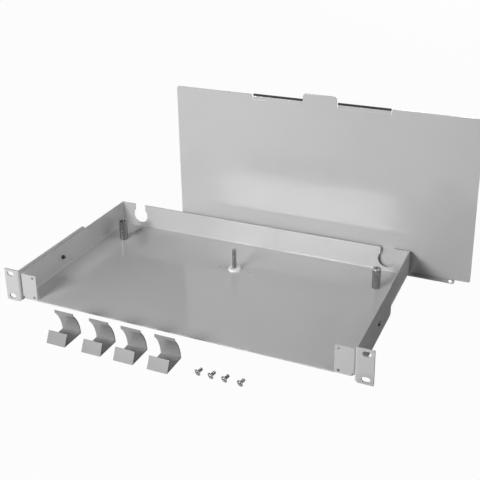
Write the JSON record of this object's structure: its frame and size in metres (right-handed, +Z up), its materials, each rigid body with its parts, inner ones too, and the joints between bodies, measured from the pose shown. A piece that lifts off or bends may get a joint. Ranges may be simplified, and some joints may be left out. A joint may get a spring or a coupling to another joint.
{
  "type": "fibre patch panel",
  "caption": "Open one-unit fibre splice and patch tray with rack brackets, rear cable entries and centre stud, cover off and standing behind, cable guides and screws laid in front.",
  "frame": {"origin": "centre of the four rack slots, on the front face of the ears", "axes": "+X to the right as seen from the front, +Y from the rack plane to the rear, +Z up"},
  "size_m": [0.54, 0.322, 0.2375],
  "materials": {
    "painted_sheet": "light grey powder paint, semi-gloss, on 1.5 mm sheet steel",
    "painted_bracket": "light grey powder paint, semi-gloss, on 2 mm sheet steel",
    "painted_cover": "light grey powder paint, semi-gloss, on 1 mm sheet steel",
    "painted_guide": "grey powder paint, satin, on 1.2 mm sheet",
    "zinc_steel": "bright zinc-plated steel",
    "polished_post": "bright nickel-plated steel",
    "white_nylon": "natural white nylon, slightly glossy",
    "edge_rubber": "matt black rubber edge strip"
  },
  "bodies": {
    "tray": {"tray_body": "painted_sheet", "rack_bracket_left": "painted_bracket", "rack_bracket_right": "painted_bracket", "bracket_screws_left": "zinc_steel", "bracket_screws_right": "zinc_steel", "wall_nuts_left": "zinc_steel", "wall_nuts_right": "zinc_steel", "centre_stud": "zinc_steel", "cable_post_left": "polished_post", "cable_post_right": "polished_post", "post_screw_left": "zinc_steel", "post_screw_right": "zinc_steel"},
    "stud_nut": {"stud_nut": "white_nylon"},
    "cover": {"cover_panel": "painted_cover", "cover_seal_left": "edge_rubber", "cover_seal_right": "edge_rubber"},
    "guide_1": {"cable_guide_1": "painted_guide"},
    "guide_2": {"cable_guide_2": "painted_guide"},
    "guide_3": {"cable_guide_3": "painted_guide"},
    "guide_4": {"cable_guide_4": "painted_guide"},
    "screw_1": {"loose_screw_1": "zinc_steel"},
    "screw_2": {"loose_screw_2": "zinc_steel"},
    "screw_3": {"loose_screw_3": "zinc_steel"},
    "screw_4": {"loose_screw_4": "zinc_steel"}
  },
  "joints": [
    {"name": "stud_nut_turn", "type": "hinge", "parent": "tray", "child": "stud_nut", "pos_m": [0, 0.172, -0.014], "axis": [0, 0, 1], "continuous": true},
    {"name": "cover_lift", "type": "slide", "parent": "tray", "child": "cover", "axis": [0, 0, 1], "range_m": [0, 0.25]},
    {"name": "guide_1_lift", "type": "slide", "parent": "tray", "child": "guide_1", "axis": [0, 0, 1], "range_m": [0, 0.1]},
    {"name": "guide_2_lift", "type": "slide", "parent": "tray", "child": "guide_2", "axis": [0, 0, 1], "range_m": [0, 0.1]},
    {"name": "guide_3_lift", "type": "slide", "parent": "tray", "child": "guide_3", "axis": [0, 0, 1], "range_m": [0, 0.1]},
    {"name": "guide_4_lift", "type": "slide", "parent": "tray", "child": "guide_4", "axis": [0, 0, 1], "range_m": [0, 0.1]},
    {"name": "screw_1_lift", "type": "slide", "parent": "tray", "child": "screw_1", "axis": [0, 0, 1], "range_m": [0, 0.06]},
    {"name": "screw_2_lift", "type": "slide", "parent": "tray", "child": "screw_2", "axis": [0, 0, 1], "range_m": [0, 0.06]},
    {"name": "screw_3_lift", "type": "slide", "parent": "tray", "child": "screw_3", "axis": [0, 0, 1], "range_m": [0, 0.06]},
    {"name": "screw_4_lift", "type": "slide", "parent": "tray", "child": "screw_4", "axis": [0, 0, 1], "range_m": [0, 0.06]}
  ]
}
